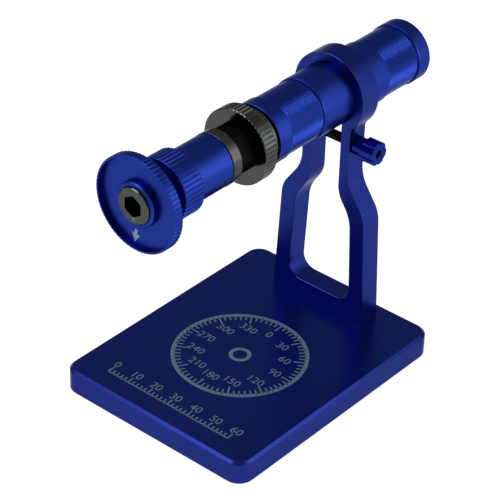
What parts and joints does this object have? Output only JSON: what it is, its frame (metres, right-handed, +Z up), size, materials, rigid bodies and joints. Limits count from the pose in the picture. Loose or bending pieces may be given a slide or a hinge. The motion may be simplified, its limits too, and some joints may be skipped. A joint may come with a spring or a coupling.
{
  "type": "wheel balancing stand",
  "caption": "Bench stand with a flat base, an open clamp yoke and a long bearing barrel whose free-running spindle holds a model car wheel for static balancing.",
  "frame": {"origin": "middle of the base plate's underside", "axes": "+Z up, the spindle axis along Y with the dial towards -Y and the yoke towards +Y, the thumb nut on +X"},
  "size_m": [0.09, 0.1545, 0.1253],
  "materials": {
    "plate_blue": "blue anodised, milled plate",
    "turned_blue": "blue anodised, turned",
    "gunmetal": "gunmetal hard anodised, turned",
    "black_steel": "black oxide",
    "bearing_steel": "ground",
    "cage_brass": "pressed",
    "bare_aluminium": "turned"
  },
  "bodies": {
    "stand": {"base_plate": "plate_blue", "yoke": "plate_blue", "yoke_screws": "black_steel"},
    "barrel_unit": {"barrel": "turned_blue", "front_outer_race": "bearing_steel", "front_shields": "bearing_steel", "rear_outer_race": "bearing_steel", "rear_shields": "bearing_steel"},
    "spindle": {"spindle_shaft": "bearing_steel", "wheel_arbor": "gunmetal", "drive_hub": "gunmetal", "front_inner_race": "bearing_steel", "rear_inner_race": "bearing_steel", "bearing_spacer": "bare_aluminium", "retaining_washer": "bearing_steel", "retaining_screw": "black_steel"},
    "front_ball_set": {"front_balls": "bearing_steel", "front_cage": "cage_brass"},
    "rear_ball_set": {"rear_balls": "bearing_steel", "rear_cage": "cage_brass"},
    "wheel_nut": {"sleeve_nut": "turned_blue", "pressure_ring": "gunmetal"},
    "dial_unit": {"dial": "turned_blue"},
    "thumb_nut_unit": {"thumb_nut": "turned_blue"},
    "clamp_screw_unit": {"clamp_screw": "black_steel"}
  },
  "joints": [
    {"name": "barrel_slide", "type": "slide", "parent": "stand", "child": "barrel_unit", "axis": [0, 1, 0], "range_m": [-0.012, 0.016]},
    {"name": "spindle_spin", "type": "hinge", "parent": "barrel_unit", "child": "spindle", "pos_m": [0, 0, 0.1065], "axis": [0, 1, 0], "continuous": true},
    {"name": "front_ball_orbit", "type": "hinge", "parent": "barrel_unit", "child": "front_ball_set", "pos_m": [0, 0, 0.1065], "axis": [0, 1, 0], "continuous": true},
    {"name": "rear_ball_orbit", "type": "hinge", "parent": "barrel_unit", "child": "rear_ball_set", "pos_m": [0, 0, 0.1065], "axis": [0, 1, 0], "continuous": true},
    {"name": "wheel_nut_travel", "type": "slide", "parent": "spindle", "child": "wheel_nut", "axis": [0, -1, 0], "range_m": [0, 0.05]},
    {"name": "dial_travel", "type": "slide", "parent": "wheel_nut", "child": "dial_unit", "axis": [0, -1, 0], "range_m": [0, 0.02]},
    {"name": "thumb_nut_turn", "type": "hinge", "parent": "stand", "child": "thumb_nut_unit", "pos_m": [0, 0.0458, 0.0865], "axis": [1, 0, 0], "range_deg": [0, 720]},
    {"name": "clamp_screw_advance", "type": "slide", "parent": "stand", "child": "clamp_screw_unit", "axis": [-1, 0, 0], "range_m": [0, 0.0014]}
  ],
  "couplings": [
    {"joint": "front_ball_orbit", "follows": "spindle_spin", "ratio": 0.4},
    {"joint": "rear_ball_orbit", "follows": "spindle_spin", "ratio": 0.4},
    {"joint": "thumb_nut_turn", "follows": "clamp_screw_advance", "rad_per_m": 8975.9}
  ]
}
